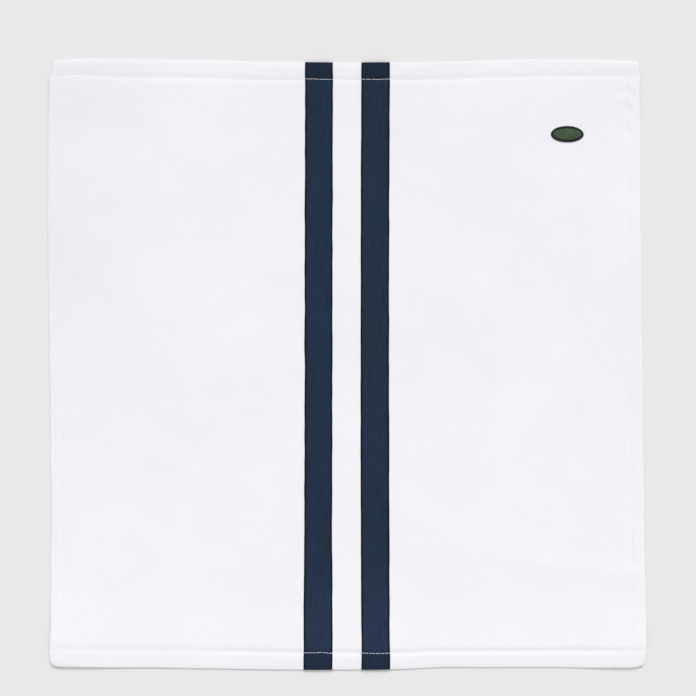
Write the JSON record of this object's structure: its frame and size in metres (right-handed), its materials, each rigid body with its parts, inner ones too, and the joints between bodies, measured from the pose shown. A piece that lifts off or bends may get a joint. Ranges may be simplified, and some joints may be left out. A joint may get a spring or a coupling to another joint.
{
  "type": "tennis bandana",
  "caption": "Square of hemmed cotton worn rolled and tied as a sports headband, with contrast tapes down its middle, an embroidered oval badge near a corner and a care label at one hem.",
  "frame": {"origin": "under the middle of the cloth, on the plane that it rests on when laid face up", "axes": "+Z out of the front face, +Y along the stripes towards the badge end, +X towards the badge side"},
  "size_m": [0.534, 0.551, 0.0026],
  "materials": {
    "white_cotton": "matt plain-weave cotton, faint cool white",
    "navy_tape": "matt woven cotton tape, slate navy",
    "white_thread": "sewing thread, slight sheen",
    "navy_thread": "sewing thread, slight sheen",
    "white_twill": "badge backing twill",
    "green_embroidery": "satin-stitched rayon thread, silky",
    "black_embroidery": "merrowed edge thread, silky",
    "white_satin": "blank woven satin label"
  },
  "bodies": {
    "bandana": {"cloth_panel": "white_cotton", "left_stripe_tape": "navy_tape", "left_tape_left_seam_needle_thread": "navy_thread", "left_tape_left_seam_bobbin_thread": "navy_thread", "left_tape_right_seam_needle_thread": "navy_thread", "left_tape_right_seam_bobbin_thread": "navy_thread", "right_stripe_tape": "navy_tape", "right_tape_left_seam_needle_thread": "navy_thread", "right_tape_left_seam_bobbin_thread": "navy_thread", "right_tape_right_seam_needle_thread": "navy_thread", "right_tape_right_seam_bobbin_thread": "navy_thread", "bottom_hem_needle_thread": "white_thread", "bottom_hem_bobbin_thread": "white_thread", "top_hem_needle_thread": "white_thread", "top_hem_bobbin_thread": "white_thread", "left_hem_needle_thread": "white_thread", "left_hem_bobbin_thread": "white_thread", "right_hem_needle_thread": "white_thread", "right_hem_bobbin_thread": "white_thread", "badge_backing": "white_twill", "badge_border": "black_embroidery", "badge_embroidery": "green_embroidery", "badge_edge_stitching": "white_thread"},
    "label_flap": {"care_label": "white_satin"}
  },
  "joints": [
    {"name": "care_label_flip", "type": "hinge", "parent": "bandana", "child": "label_flap", "pos_m": [-0.2547, 0.2235, 0.0001], "axis": [0, 1, 0], "range_deg": [0, 165]}
  ]
}
